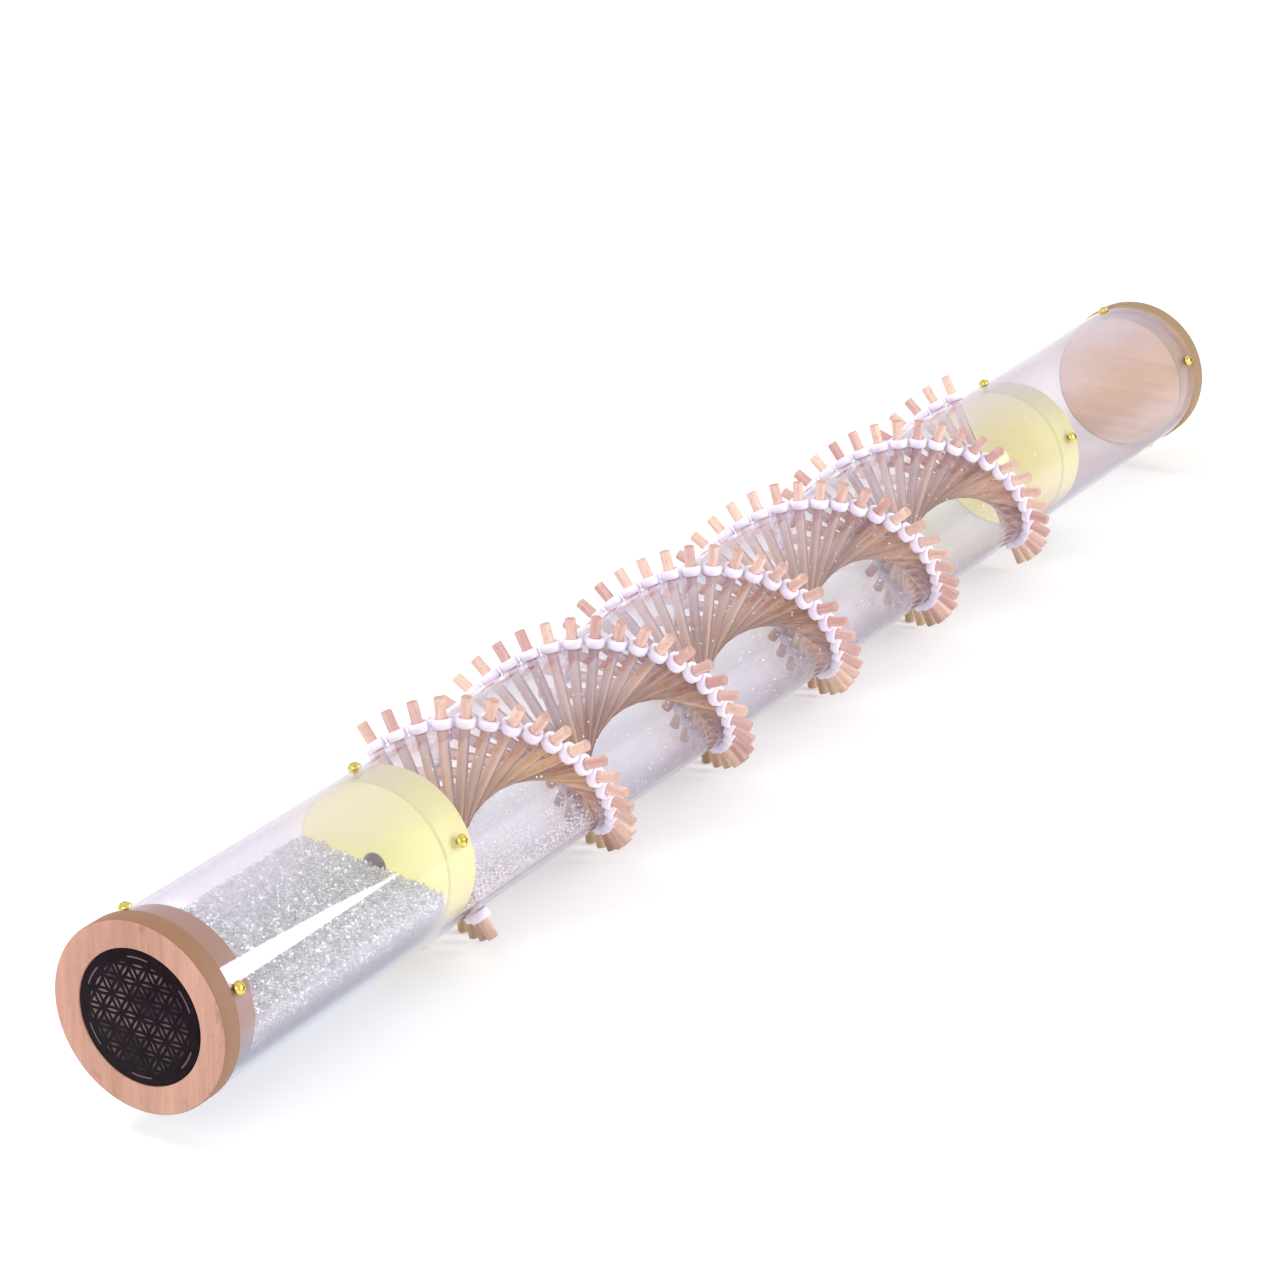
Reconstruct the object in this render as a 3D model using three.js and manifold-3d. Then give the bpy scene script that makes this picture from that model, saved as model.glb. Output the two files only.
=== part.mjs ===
// Rain stick: a clear tube with wooden end caps, two baffle discs and a helix of dowels through its wall.
// Millimetres. +X runs along the tube from the inlaid front cap to the plain rear cap, and +Z is up.
// The origin is the middle of the tube's axis. Angles about the axis are degrees from +Z towards +Y.
import * as THREE from 'three';
import { mergeVertices } from 'three/addons/utils/BufferGeometryUtils.js';
import Module from 'manifold-3d';

const wasm = await Module();
wasm.setup();

// Tube
const TUBE_RADIUS = 40;
const TUBE_WALL = 2;
const TUBE_LENGTH = 930;

// Clearances
const SEAT_GAP = 0.3;        // left between two pieces that rest on each other
const HOLE_CLEARANCE = 0.3;  // all round a dowel or a screw in its hole
const BORE_CLEARANCE = 0.3;  // all round a plug or a baffle in the tube
const BEAD_CLEARANCE = 0.5;  // between the filling and the walls of its chamber

// End caps
const CAP_THICKNESS = 10;
const CAP_OVERHANG = 0.7;    // flange beyond the tube, all round
const CAP_EDGE = 1;          // chamfer of the flange's outer edge
const PLUG_DEPTH = 14;

// Inlay in the front cap
const INLAY_RADIUS = 28.5;
const INLAY_THICKNESS = 2.5;
const INLAY_RECESS = 0.3;    // inlay's face below the cap's face

// Baffles
const CHAMBER_LENGTH = 138.5; // from a plug to its baffle
const BAFFLE_THICKNESS = 20;
const BAFFLE_HOLE_RADIUS = 5;

// Dowel helix
const DOWEL_RADIUS = 2.5;
const DOWEL_PROTRUSION = 14; // beyond the tube at each end
const DOWEL_PITCH = 6.33;    // along the tube
const DOWELS_PER_HALF_TURN = 17;
const DOWEL_END_MARGIN = 20; // least space between a baffle and the first dowel's axis
const FIRST_DOWEL_ANGLE = 38;
const DOWELS_PER_GROUP = 3;  // neighbours joined into one solid where their rings press together

// Silicone rings on the dowels
const RING_HEIGHT = 4;
const RING_PRESS = 0.3;      // how far the rings of one group are pressed together

// Screws
const SCREWS_PER_RING = 4;
const SCREW_ANGLE = 23.5;    // of the first screw of each ring
const SCREW_END_DISTANCE = 4.5; // from the tube's end to a cap's screws
const SCREW_SHANK_RADIUS = 1.5;
const SCREW_SHANK_LENGTH = 12;
const SCREW_POINT = 2;       // length of the shank's tip
const SCREW_HEAD_RADIUS = 3;
const SCREW_HEAD_RIM = 0.7;
const SCREW_HEAD_HEIGHT = 2.2;

// Filling
const BEAD_LEVEL = 0.5;      // top of the filling above the tube's axis
const BEAD_SLOPE = 7.5;      // degrees by which the last roll left the top tilted

// Number of flats on round things. A dowel end lies in the middle of one flat of the tube.
const TUBE_FLATS = 2 * DOWELS_PER_HALF_TURN;
const SMALL_FLATS = 6;
const CORNER = 1 / Math.cos(Math.PI / SMALL_FLATS); // radius to a corner over the radius to a flat
const FLATNESS = 0.999999; // least cosine between the normals of two triangles of one flat face

// Derived sizes
const TURN_STEP = 180 / DOWELS_PER_HALF_TURN;
const BORE_RADIUS = TUBE_RADIUS - TUBE_WALL;
const PLUG_RADIUS = BORE_RADIUS - BORE_CLEARANCE;
const CAP_INNER_X = TUBE_LENGTH / 2 + SEAT_GAP;        // flange face that meets the tube
const CAP_OUTER_X = CAP_INNER_X + CAP_THICKNESS;
const PLUG_END_X = CAP_INNER_X - PLUG_DEPTH;
const BAFFLE_OUTER_X = PLUG_END_X - CHAMBER_LENGTH;
const BAFFLE_INNER_X = BAFFLE_OUTER_X - BAFFLE_THICKNESS;
const DOWEL_HOLE_RADIUS = DOWEL_RADIUS + HOLE_CLEARANCE;
const SCREW_HOLE_RADIUS = SCREW_SHANK_RADIUS + HOLE_CLEARANCE;
const DOWEL_SPAN = 2 * (BAFFLE_INNER_X - DOWEL_END_MARGIN);
const DOWEL_COUNT = Math.floor(DOWEL_SPAN / DOWEL_PITCH) + 1;
const FLAT_RADIUS = TUBE_RADIUS * Math.cos(Math.PI / TUBE_FLATS); // to the middle of a flat
const NEIGHBOUR_ARC = TUBE_RADIUS * THREE.MathUtils.degToRad(TURN_STEP);
const RING_SPACING = Math.hypot(DOWEL_PITCH, NEIGHBOUR_ARC);
const RING_RADIUS = (RING_SPACING - SEAT_GAP) / 2;
const RING_TURN = Math.PI / 3 - Math.atan2(NEIGHBOUR_ARC, DOWEL_PITCH); // turns a flat towards the next ring

// Materials, one for each finish
const acrylic = () => new THREE.MeshStandardMaterial({
  color: 0xe9eaf4, roughness: 0.06, metalness: 0, transparent: true, opacity: 0.3,
});
const beech = () => new THREE.MeshStandardMaterial({ color: 0xd9ab8c, roughness: 0.6, metalness: 0 });
const paleBeech = () => new THREE.MeshStandardMaterial({ color: 0xe6c5b0, roughness: 0.65, metalness: 0 });
const blackInlay = () => new THREE.MeshStandardMaterial({ color: 0x1d1820, roughness: 0.5, metalness: 0 });
const yellowDisc = () => new THREE.MeshStandardMaterial({ color: 0xf1eebb, roughness: 0.45, metalness: 0 });
const brass = () => new THREE.MeshStandardMaterial({ color: 0xd8c34a, roughness: 0.25, metalness: 1 });
const clearBeads = () => new THREE.MeshStandardMaterial({ color: 0xd5d7de, roughness: 0.15, metalness: 0 });

// Merges the shared corners of a closed surface, drops faces that collapsed and turns the rest outwards.
function closedSurface(geometry) {
  const bare = geometry.clone();
  bare.deleteAttribute('normal');
  bare.deleteAttribute('uv');
  const merged = mergeVertices(bare, 1e-4);
  const index = merged.index.array;
  const position = merged.attributes.position;
  const faces = [];
  let volume = 0;
  for (let i = 0; i < index.length; i += 3) {
    const [a, b, c] = [index[i], index[i + 1], index[i + 2]];
    if (a === b || b === c || c === a) continue;
    faces.push(a, b, c);
    const [p, q, r] = [a, b, c].map((n) => new THREE.Vector3().fromBufferAttribute(position, n));
    volume += p.dot(q.cross(r));
  }
  if (volume < 0) faces.reverse();
  merged.setIndex(faces);
  return merged;
}

function toSolid(geometry) {
  const surface = closedSurface(geometry);
  return new wasm.Manifold(new wasm.Mesh({
    numProp: 3,
    vertProperties: new Float32Array(surface.attributes.position.array),
    triVerts: new Uint32Array(surface.index.array),
  }));
}

// Moves each point inside a flat face, or along a straight edge, onto a neighbour if no triangle turns.
function dropNeedlessPoints(position, triangles) {
  const point = (n) => new THREE.Vector3().fromBufferAttribute(position, n);
  const around = Array.from({ length: position.count }, () => new Set());
  triangles.forEach((triangle) => triangle.forEach((n) => around[n].add(triangle)));
  const normal = (triangle) => new THREE.Triangle(...triangle.map(point)).getNormal(new THREE.Vector3());
  const neighbours = (n) => new Set([...around[n]].flat().filter((other) => other !== n));
  const replaced = (triangle, from, to) => triangle.map((n) => (n === from ? to : n));
  const staysFlat = (triangle, from, to) => (
    triangle.includes(to) || normal(replaced(triangle, from, to)).dot(normal(triangle)) > FLATNESS
  );
  for (const from of around.keys()) {
    const mayMoveTo = (to) => {
      const common = neighbours(to).intersection(neighbours(from));
      return common.size === 2 && [...around[from]].every((triangle) => staysFlat(triangle, from, to));
    };
    const to = [...neighbours(from)].find(mayMoveTo);
    if (to === undefined) continue;
    for (const triangle of [...around[from]]) {
      const flattened = triangle.includes(to);
      triangle.forEach((n) => around[n].delete(triangle));
      if (flattened) continue;
      const moved = replaced(triangle, from, to);
      moved.forEach((n) => around[n].add(moved));
    }
  }
  return [...new Set(around.flatMap((set) => [...set]))];
}

function toGeometry(solid) {
  const mesh = solid.getMesh();
  const geometry = new THREE.BufferGeometry();
  const position = new THREE.BufferAttribute(mesh.vertProperties, 3);
  const triangles = Array.from({ length: mesh.numTri }, (_, n) => [...mesh.verts(n)]);
  geometry.setAttribute('position', position);
  geometry.setIndex(dropNeedlessPoints(position, triangles).flat());
  return geometry;
}

// Joins the cutters and cuts them all out of a geometry at once.
function cut(geometry, cutters) {
  const tool = cutters.map(toSolid).reduce((joined, next) => joined.add(next));
  return toGeometry(toSolid(geometry).subtract(tool));
}

// Revolves a profile of [radius, x] points about the tube's axis, with the tube's flats.
function turned(profile) {
  const points = profile.map(([radius, x]) => new THREE.Vector2(radius, x));
  const geometry = new THREE.LatheGeometry(points, TUBE_FLATS);
  geometry.rotateZ(-Math.PI / 2);
  const flatCentre = TURN_STEP / 2;
  geometry.rotateX(-THREE.MathUtils.degToRad(FIRST_DOWEL_ANGLE + flatCentre));
  return geometry;
}

// Takes a small shape that stands along +Y and stands it across the tube's axis, at x and at an angle.
function stand(geometry, x, angle) {
  geometry.rotateX(Math.PI / 2);
  geometry.rotateX(-THREE.MathUtils.degToRad(angle));
  geometry.translate(x, 0, 0);
  return geometry;
}

// A small bar across the tube's axis, between two distances from the axis. Its radius is to the flats.
function crossBar(radius, from, to, x, angle, turn = 0) {
  const bar = new THREE.CylinderGeometry(radius * CORNER, radius * CORNER, to - from, SMALL_FLATS);
  bar.rotateY(turn);
  bar.translate(0, (from + to) / 2, 0);
  return stand(bar, x, angle);
}

const dowels = Array.from({ length: DOWEL_COUNT }, (_, n) => ({
  x: (n - (DOWEL_COUNT - 1) / 2) * DOWEL_PITCH,
  angle: FIRST_DOWEL_ANGLE - n * TURN_STEP,
}));

const screwStep = 360 / SCREWS_PER_RING;
const screwAngles = Array.from({ length: SCREWS_PER_RING }, (_, n) => SCREW_ANGLE + n * screwStep);
const capScrewX = TUBE_LENGTH / 2 - SCREW_END_DISTANCE;
const baffleScrewX = (BAFFLE_OUTER_X + BAFFLE_INNER_X) / 2;
const screwRings = [
  { name: 'front_cap', x: -capScrewX },
  { name: 'front_baffle', x: -baffleScrewX },
  { name: 'rear_baffle', x: baffleScrewX },
  { name: 'rear_cap', x: capScrewX },
];

// The screw's seat is the round tube's crest, and its hole ends a little below its point.
const screwSeat = TUBE_RADIUS + SEAT_GAP;
const screwTip = screwSeat - SCREW_SHANK_LENGTH;

function screwHoles(x) {
  return screwAngles.map((angle) => (
    crossBar(SCREW_HOLE_RADIUS, screwTip - SEAT_GAP, TUBE_RADIUS + TUBE_WALL, x, angle)
  ));
}

function tube() {
  const half = TUBE_LENGTH / 2;
  const wall = turned([
    [BORE_RADIUS, -half],
    [TUBE_RADIUS, -half],
    [TUBE_RADIUS, half],
    [BORE_RADIUS, half],
    [BORE_RADIUS, -half],
  ]);
  const reach = TUBE_RADIUS + TUBE_WALL;
  const dowelHoles = dowels.map(({ x, angle }) => crossBar(DOWEL_HOLE_RADIUS, -reach, reach, x, angle));
  return cut(wall, [...dowelHoles, ...screwRings.flatMap(({ x }) => screwHoles(x))]);
}

// Flange and plug, from the outer face inwards. The inner end of the profile is the plug's end.
function capProfile() {
  const flange = TUBE_RADIUS + CAP_OVERHANG;
  return [
    [flange - CAP_EDGE, CAP_OUTER_X],
    [flange, CAP_OUTER_X - CAP_EDGE],
    [flange, CAP_INNER_X],
    [PLUG_RADIUS, CAP_INNER_X],
    [PLUG_RADIUS, PLUG_END_X],
    [0, PLUG_END_X],
  ];
}

function rearCap() {
  return cut(turned([[0, CAP_OUTER_X], ...capProfile()]), screwHoles(capScrewX));
}

function frontCap() {
  const recessRadius = INLAY_RADIUS + SEAT_GAP;
  const floor = CAP_OUTER_X - INLAY_RECESS - INLAY_THICKNESS - SEAT_GAP;
  const profile = [[0, floor], [recessRadius, floor], [recessRadius, CAP_OUTER_X], ...capProfile()];
  return cut(turned(profile.map(([radius, x]) => [radius, -x])), screwHoles(-capScrewX));
}

function inlay() {
  const face = -CAP_OUTER_X + INLAY_RECESS;
  const back = face + INLAY_THICKNESS;
  return closedSurface(turned([[0, face], [INLAY_RADIUS, face], [INLAY_RADIUS, back], [0, back]]));
}

function baffle(side) {
  const disc = turned([
    [BAFFLE_HOLE_RADIUS, side * BAFFLE_INNER_X],
    [PLUG_RADIUS, side * BAFFLE_INNER_X],
    [PLUG_RADIUS, side * BAFFLE_OUTER_X],
    [BAFFLE_HOLE_RADIUS, side * BAFFLE_OUTER_X],
    [BAFFLE_HOLE_RADIUS, side * BAFFLE_INNER_X],
  ]);
  return cut(disc, screwHoles(side * baffleScrewX));
}

// Round-head screw, pointing at the tube's axis.
function screw(x, angle) {
  const profile = [
    [0, screwTip],
    [SCREW_SHANK_RADIUS, screwTip + SCREW_POINT],
    [SCREW_SHANK_RADIUS, screwSeat],
    [SCREW_HEAD_RADIUS, screwSeat],
    [SCREW_HEAD_RADIUS, screwSeat + SCREW_HEAD_RIM],
    [SCREW_HEAD_RADIUS * 0.7, screwSeat + SCREW_HEAD_HEIGHT * 0.8],
    [0, screwSeat + SCREW_HEAD_HEIGHT],
  ];
  const points = profile.map(([radius, height]) => new THREE.Vector2(radius, height));
  return closedSurface(stand(new THREE.LatheGeometry(points, SMALL_FLATS), x, angle));
}

// A dowel with its two silicone rings, which sit on the flats of the tube.
function ringedDowel({ x, angle }, ringRadius) {
  const tip = TUBE_RADIUS + DOWEL_PROTRUSION;
  const seat = FLAT_RADIUS + SEAT_GAP;
  const top = seat + RING_HEIGHT;
  const dowel = toSolid(crossBar(DOWEL_RADIUS, -tip, tip, x, angle));
  const ring = toSolid(crossBar(ringRadius, seat, top, x, angle, RING_TURN));
  const otherRing = toSolid(crossBar(ringRadius, -top, -seat, x, angle, -RING_TURN));
  return dowel.add(ring).add(otherRing);
}

// A few neighbouring dowels. The rings between a group's ends are wide enough to join them to their
// neighbours, and the rings at its ends keep the seat gap to the next group's.
function dowelGroup(first) {
  const group = dowels.slice(first, first + DOWELS_PER_GROUP);
  const widths = group.map((_, n) => (n % 2 ? RING_RADIUS + SEAT_GAP + RING_PRESS : RING_RADIUS));
  const solids = group.map((dowel, n) => ringedDowel(dowel, widths[n]));
  return toGeometry(solids.reduce((joined, next) => joined.add(next)));
}

// The filling at rest: it fills the front chamber up to a flat surface. This rises a little towards +Y, as
// beads that grip each other stay after a roll.
function beadBed() {
  const radius = BORE_RADIUS * Math.cos(Math.PI / TUBE_FLATS) - BEAD_CLEARANCE;
  const edge = Math.asin(BEAD_LEVEL / radius);
  const section = new THREE.Shape();
  section.absarc(0, 0, radius, Math.PI - edge, 2 * Math.PI + edge, false);
  section.closePath();
  const length = CHAMBER_LENGTH - 2 * BEAD_CLEARANCE;
  const options = { depth: length, bevelEnabled: false, curveSegments: DOWELS_PER_HALF_TURN };
  const bed = new THREE.ExtrudeGeometry(section, options);
  bed.rotateX(Math.PI / 2);
  bed.rotateZ(Math.PI / 2);
  bed.rotateX(THREE.MathUtils.degToRad(BEAD_SLOPE));
  bed.translate(-PLUG_END_X + BEAD_CLEARANCE, 0, 0);
  return closedSurface(bed);
}

const stick = new THREE.Group();

function place(name, geometry, material) {
  const mesh = new THREE.Mesh(geometry, material);
  mesh.name = name;
  stick.add(mesh);
}

place('tube', tube(), acrylic());
place('front_cap', frontCap(), beech());
place('front_inlay', inlay(), blackInlay());
place('rear_cap', rearCap(), beech());
place('front_baffle', baffle(-1), yellowDisc());
place('rear_baffle', baffle(1), yellowDisc());
place('bead_filling', beadBed(), clearBeads());

for (const { name, x } of screwRings) {
  screwAngles.forEach((angle, n) => place(`${name}_screw_${n + 1}`, screw(x, angle), brass()));
}

for (let first = 0; first < DOWEL_COUNT; first += DOWELS_PER_GROUP) {
  const number = String(first / DOWELS_PER_GROUP + 1).padStart(2, '0');
  place(`dowels_${number}`, dowelGroup(first), paleBeech());
}

export default stick;
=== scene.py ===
# %% [markdown]
# # A rain stick
# This lesson dresses a rain stick: a clear tube with a wooden cap on each end, two soft yellow baffles, fine
# glass beads, and a helix of thin dowels that pass right through the tube. The beads trickle from dowel to dowel as the
# stick is turned over. The CAD model gives every size and place, so the first step loads it and keeps its box. All
# sizes are those of the CAD model, because a new piece has to sit exactly where its plain solid sits.

# %% Load the frame
import math
import random

import bmesh
import bpy
import numpy as np
from mathutils import Matrix, Vector


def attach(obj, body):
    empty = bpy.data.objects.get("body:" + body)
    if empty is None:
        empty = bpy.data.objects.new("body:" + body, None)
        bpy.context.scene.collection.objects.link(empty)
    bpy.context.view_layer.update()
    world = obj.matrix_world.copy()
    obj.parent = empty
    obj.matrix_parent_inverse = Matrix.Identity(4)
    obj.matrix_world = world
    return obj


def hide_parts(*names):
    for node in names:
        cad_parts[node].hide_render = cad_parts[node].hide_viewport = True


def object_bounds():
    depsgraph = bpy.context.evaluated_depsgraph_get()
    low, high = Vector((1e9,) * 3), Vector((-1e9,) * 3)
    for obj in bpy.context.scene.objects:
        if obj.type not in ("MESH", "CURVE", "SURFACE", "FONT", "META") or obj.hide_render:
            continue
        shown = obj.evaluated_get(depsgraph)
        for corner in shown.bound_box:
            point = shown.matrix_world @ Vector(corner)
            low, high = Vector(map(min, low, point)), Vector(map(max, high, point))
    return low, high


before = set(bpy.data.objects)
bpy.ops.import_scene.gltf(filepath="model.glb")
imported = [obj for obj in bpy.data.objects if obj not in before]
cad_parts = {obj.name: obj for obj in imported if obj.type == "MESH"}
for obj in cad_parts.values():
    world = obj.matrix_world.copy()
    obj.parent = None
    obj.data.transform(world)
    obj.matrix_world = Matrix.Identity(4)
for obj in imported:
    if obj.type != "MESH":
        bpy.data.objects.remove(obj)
cad_box = [list(corner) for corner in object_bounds()]
MM = 0.001                   # sizes are written in millimetres and used in metres
print("nodes:", len(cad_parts), "box:", cad_box)

# %% [markdown]
# ## The camera
# The camera comes first, because each later choice is judged through it. It stands a good two metres off with a long
# lens, so the stick narrows only a little towards its far end. Its place was worked out from the round rims of the caps
# and from the dowel tips. A camera could also track an empty, but a plain matrix is easier to check.

# %% Camera
scene = bpy.context.scene
heading, pitch, roll = math.radians(29.93), math.radians(21.77), 0.0105
bpy.ops.object.camera_add()
camera = bpy.context.object
camera.name = "camera"
camera.matrix_world = (Matrix.Translation((-1.572, -0.851, 0.706))
                       @ Matrix.Rotation(heading - math.pi / 2, 4, "Z")
                       @ Matrix.Rotation(math.pi / 2 - pitch, 4, "X")
                       @ Matrix.Rotation(roll, 4, "Z"))
camera.data.sensor_width = 36
camera.data.lens = 112.84
camera.data.shift_x = 0.0007
camera.data.shift_y = 0.0027
scene.camera = camera
print("camera at", tuple(round(value, 3) for value in camera.matrix_world.translation))

# %% [markdown]
# ## Working on one piece
# Operators act on whatever is selected, so each piece starts with nothing selected. It gets its name at once, on the
# object and on its mesh.

# %% Pick and name
def deselect():
    bpy.ops.object.select_all(action="DESELECT")


def pick(piece):
    """Makes a piece the only one that operators act on."""
    deselect()
    piece.select_set(True)
    bpy.context.view_layer.objects.active = piece


def name_piece(name):
    piece = bpy.context.object
    piece.name = name
    piece.data.name = name
    return piece


print("pick and name ready")

# %% [markdown]
# Modifiers are applied, so that the mesh is what is seen. At the end the piece's place goes into its mesh, and its
# object stays at the origin, as the CAD nodes' objects do. A pattern on object coordinates then lies on the piece as it
# lies on the whole stick.

# %% Modify and settle
def modify(piece, kind, **settings):
    """Adds a modifier and applies it."""
    pick(piece)
    modifier = piece.modifiers.new(kind.lower(), kind)
    for key, value in settings.items():
        setattr(modifier, key, value)
    bpy.ops.object.modifier_apply(modifier=modifier.name)


def round_edges(piece, width, segments, sharper_than):
    """Bevels every edge that turns by more than an angle, in degrees."""
    modify(piece, "BEVEL", width=width, segments=segments, limit_method="ANGLE",
           angle_limit=math.radians(sharper_than))


def settle(piece, smooth=30):
    """Puts the piece's place in its mesh and smooths its round faces."""
    pick(piece)
    bpy.ops.object.transform_apply(location=True, rotation=True, scale=True)
    bpy.ops.object.shade_smooth_by_angle(angle=math.radians(smooth))
    return piece


print("modify and settle ready")

# %% [markdown]
# A finished piece rides on a body of the CAD model, so that it moves with it. "stick" is all that is fixed together,
# and "beads" is the heap. Most pieces stand for a plain CAD node, which is then hidden.

# %% Finish a piece
def finish_piece(piece, material, body="stick", stands_for=()):
    """Gives a piece its material and its body, and hides the CAD nodes that it stands for."""
    piece.data.materials.clear()
    piece.data.materials.append(material)
    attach(piece, body)
    if stands_for:
        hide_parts(*stands_for)


# %% [markdown]
# ## Materials as sums
# A material is a net of nodes, and a long net of wires is hard to read. A small class wraps one socket, so that plain
# Python signs add the Math nodes: 0.4 * flecks is one node, and 1 - bore another.

# %% A number that changes over a surface
class Term:
    """One socket's value. Each sign adds a Math node."""

    def __init__(self, net, socket):
        self.net = net
        self.socket = socket

    def _math(self, operation, first, second):
        return self.net.node("ShaderNodeMath", {"operation": operation}, {0: first, 1: second})

    def __add__(self, other):
        return self._math("ADD", self, other)

    def __radd__(self, other):
        return self._math("ADD", other, self)

    def __sub__(self, other):
        return self._math("SUBTRACT", self, other)

    def __rsub__(self, other):
        return self._math("SUBTRACT", other, self)

    def __mul__(self, other):
        return self._math("MULTIPLY", self, other)

    def __rmul__(self, other):
        return self._math("MULTIPLY", other, self)

    def __pow__(self, other):
        return self._math("POWER", self, other)

    def __abs__(self):
        return self._math("ABSOLUTE", self, 0)

    def least(self, other):
        return self._math("MINIMUM", self, other)

    def most(self, other):
        return self._math("MAXIMUM", self, other)

    def fold(self, width):
        """Runs up and down between 0 and a width."""
        return self._math("PINGPONG", self, width)

    def step(self, low, high):
        """Rises smoothly from 0 at low to 1 at high, and falls where low is the greater."""
        return self.net.node("ShaderNodeMapRange", {"interpolation_type": "SMOOTHSTEP"},
                             {"Value": self, "From Min": low, "From Max": high})


print("signs ready")

# %% [markdown]
# Every other node comes from one method, which takes the node's type, its settings, and the values or links of
# its sockets. The settings come first, because a Mix node that is set to colours has other sockets than one that is
# set to numbers.

# %% A net of nodes
class Net:
    """A node tree, and the one method that adds a node to it."""

    def __init__(self, tree):
        self.tree = tree

    def put(self, socket, value):
        """Links a term to a socket, or sets a plain value there."""
        if isinstance(value, Term):
            self.tree.links.new(value.socket, socket)
        else:
            socket.default_value = (*value, 1) if socket.type == "RGBA" else value

    def node(self, kind, settings=None, values=None, output=0):
        node = self.tree.nodes.new(kind)
        for key, value in (settings or {}).items():
            if key == "stops":
                for element, (position, shade) in zip(node.color_ramp.elements, value[:2]):
                    element.position, element.color = position, (*shade, 1)
                for position, shade in value[2:]:
                    node.color_ramp.elements.new(position).color = (*shade, 1)
            else:
                setattr(node, key, value)
        for key, value in (values or {}).items():
            self.put(node.inputs[key], value)
        return Term(self, node.outputs[output])


print("net ready")

# %% [markdown]
# A finish is a material with that method and the few patterns that this stick needs: its own coordinates, noise,
# ramps, blends and bumps. Values that are the same all over are set on the shader itself.

# %% A finish
class Finish(Net):
    """A material and the patterns that build it."""

    def __init__(self, name, **constants):
        self.material = bpy.data.materials.new(name)
        self.material.use_nodes = True
        super().__init__(self.material.node_tree)
        self.set(**constants)

    def set(self, **values):
        shader = self.tree.nodes["Principled BSDF"]
        for key, value in values.items():
            self.put(shader.inputs[key.replace("_", " ")], value)
        return self.material

    def place(self, scale=(1, 1, 1), attribute=None):
        """Object coordinates, or an attribute's, scaled."""
        if attribute:
            source = self.node("ShaderNodeAttribute", {"attribute_name": attribute}, output="Vector")
        else:
            source = self.node("ShaderNodeTexCoord", output="Object")
        return self.node("ShaderNodeMapping", values={"Vector": source, "Scale": scale})

    def axis(self, letter, attribute=None):
        """One coordinate, of the object (X along the stick, Y across it, Z up) or of an attribute."""
        return self.node("ShaderNodeSeparateXYZ", values={0: self.place(attribute=attribute)}, output=letter)

    def reach(self):
        """Distance from the tube's axis."""
        flat = self.node("ShaderNodeVectorMath", {"operation": "MULTIPLY"}, {0: self.place(), 1: (0, 1, 1)})
        return self.node("ShaderNodeVectorMath", {"operation": "LENGTH"}, {0: flat}, output="Value")

    def noise(self, place, detail=2.0, roughness=0.5):
        return self.node("ShaderNodeTexNoise", values={
            "Vector": place, "Scale": 1.0, "Detail": detail, "Roughness": roughness})

    def even_noise(self, scale, detail=2.0):
        """Noise of one grain size in all directions."""
        return self.noise(self.place((scale, scale, scale)), detail)

    def ramp(self, value, *stops):
        return self.node("ShaderNodeValToRGB", {"stops": stops}, {"Fac": value}, output="Color")

    def blend(self, share, first, second):
        """A colour between two colours."""
        return self.node("ShaderNodeMix", {"data_type": "RGBA"}, {0: share, 6: first, 7: second}, output=2)

    def bump(self, height, distance, strength=1.0):
        return self.node("ShaderNodeBump", values={"Height": height, "Distance": distance, "Strength": strength})


print("finish ready")

# %% [markdown]
# A colour picker on a screen shows numbers from 0 to 255, which are brighter than the light that they stand for. A
# shader works in light, so each colour is written as the screen gives it and turned into light here.

# %% Colours
def colour(red, green, blue):
    """A colour as a screen gives it, from 0 to 255, as the linear numbers that a shader takes."""
    return tuple(((value / 255 + 0.055) / 1.055) ** 2.4 if value > 10 else value / 3295
                 for value in (red, green, blue))


print("middle grey is", round(colour(128, 128, 128)[0], 3), "to a shader")

# %% [markdown]
# ## Clear acrylic
# A polished acrylic tube shows mostly what it reflects: little where it is seen face on, much where it is seen at a
# glancing angle. Real refraction in a thin wall adds noise and is lost in other programs. So the material is a thin
# mirror film whose cover follows the glancing angle, and light passes straight through the rest. The lavender grey of a
# thick wall, a haze and a few scratches tint the film. A grey film on the lower half is partly dust from the beads and
# partly painted shade, for the shadow under the stick seen through the wall; the dust is thickest on the chamber that
# holds them. A broad pale painted highlight lies along the top, the reflection of a light overhead.

# %% Acrylic
def make_acrylic():
    finish = Finish("clear_acrylic", Metallic=1.0)
    facing = finish.node("ShaderNodeLayerWeight", values={"Blend": 0.5}, output="Facing")
    haze = finish.noise(finish.place((14, 40, 40)), 3.0)
    scratch = finish.noise(finish.place((60, 900, 900))).step(0.66, 0.74)
    along, height = finish.axis("X"), finish.axis("Z")
    # Dust and painted shade: the film is greyer and thicker on the lower half.
    dust_and_shade = height.step(-10 * MM, -34 * MM)
    full = height.step(4 * MM, -30 * MM) * along.step(-310 * MM, -320 * MM)
    # Painted highlight: a pale sheen along the top of the tube.
    painted_sheen = height.step(22 * MM, 40 * MM) * haze * along.step(-455 * MM, -440 * MM)
    cover = (0.04 + 0.9 * facing ** 4.5 + 0.06 * haze + 0.02 * scratch + 0.24 * dust_and_shade + 0.58 * full
             + 0.4 * painted_sheen)
    clean = finish.ramp(haze, (0.3, colour(220, 208, 226)), (0.7, colour(234, 224, 240)))
    dusty_and_shaded = finish.blend(dust_and_shade, clean, colour(184, 180, 198))
    return finish.set(Base_Color=finish.blend(full, dusty_and_shaded, colour(207, 211, 224)), Alpha=cover.least(1.0),
                      Roughness=0.04 + 0.1 * scratch)


acrylic = make_acrylic()
print("made", acrylic.name)

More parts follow.
